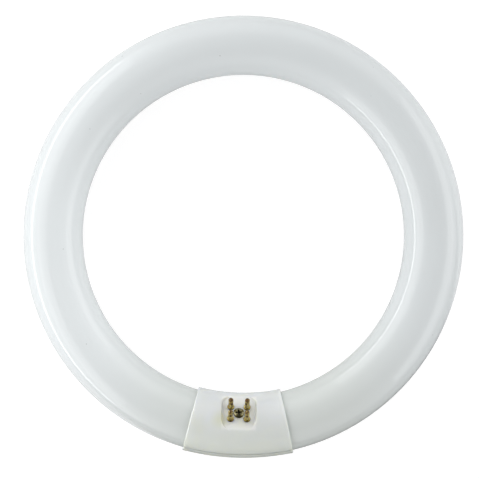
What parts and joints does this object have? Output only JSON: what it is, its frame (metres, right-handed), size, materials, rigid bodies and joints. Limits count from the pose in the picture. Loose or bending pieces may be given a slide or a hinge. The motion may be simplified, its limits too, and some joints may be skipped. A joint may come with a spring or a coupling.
{
  "type": "circular fluorescent tube",
  "caption": "Ring-shaped fluorescent lamp with white-coated glass, closed by a moulded cap whose contact pins lean towards the ring's centre; it plugs into a lampholder.",
  "frame": {"origin": "middle of the object's box, on the surface that the ring lies on", "axes": "+Z along the ring's axis and out of the surface it lies on; the cap is at -Y; +Y is away from the cap"},
  "size_m": [0.216, 0.2171, 0.0362],
  "materials": {
    "glass_tube": "gloss",
    "cap_plastic": "satin",
    "screw_steel": "plated",
    "pin_brass": "satin",
    "lead_wire": "satin"
  },
  "bodies": {
    "root": {"glass_tube": "glass_tube", "front_cap_shell": "cap_plastic", "rear_cap_shell": "cap_plastic", "cap_screw": "screw_steel", "contact_pin_inner_left": "pin_brass", "contact_pin_inner_right": "pin_brass", "contact_pin_outer_left": "pin_brass", "contact_pin_outer_right": "pin_brass", "lead_wire_inner_left": "lead_wire", "lead_wire_inner_right": "lead_wire", "lead_wire_outer_left": "lead_wire", "lead_wire_outer_right": "lead_wire"}
  },
  "joints": []
}
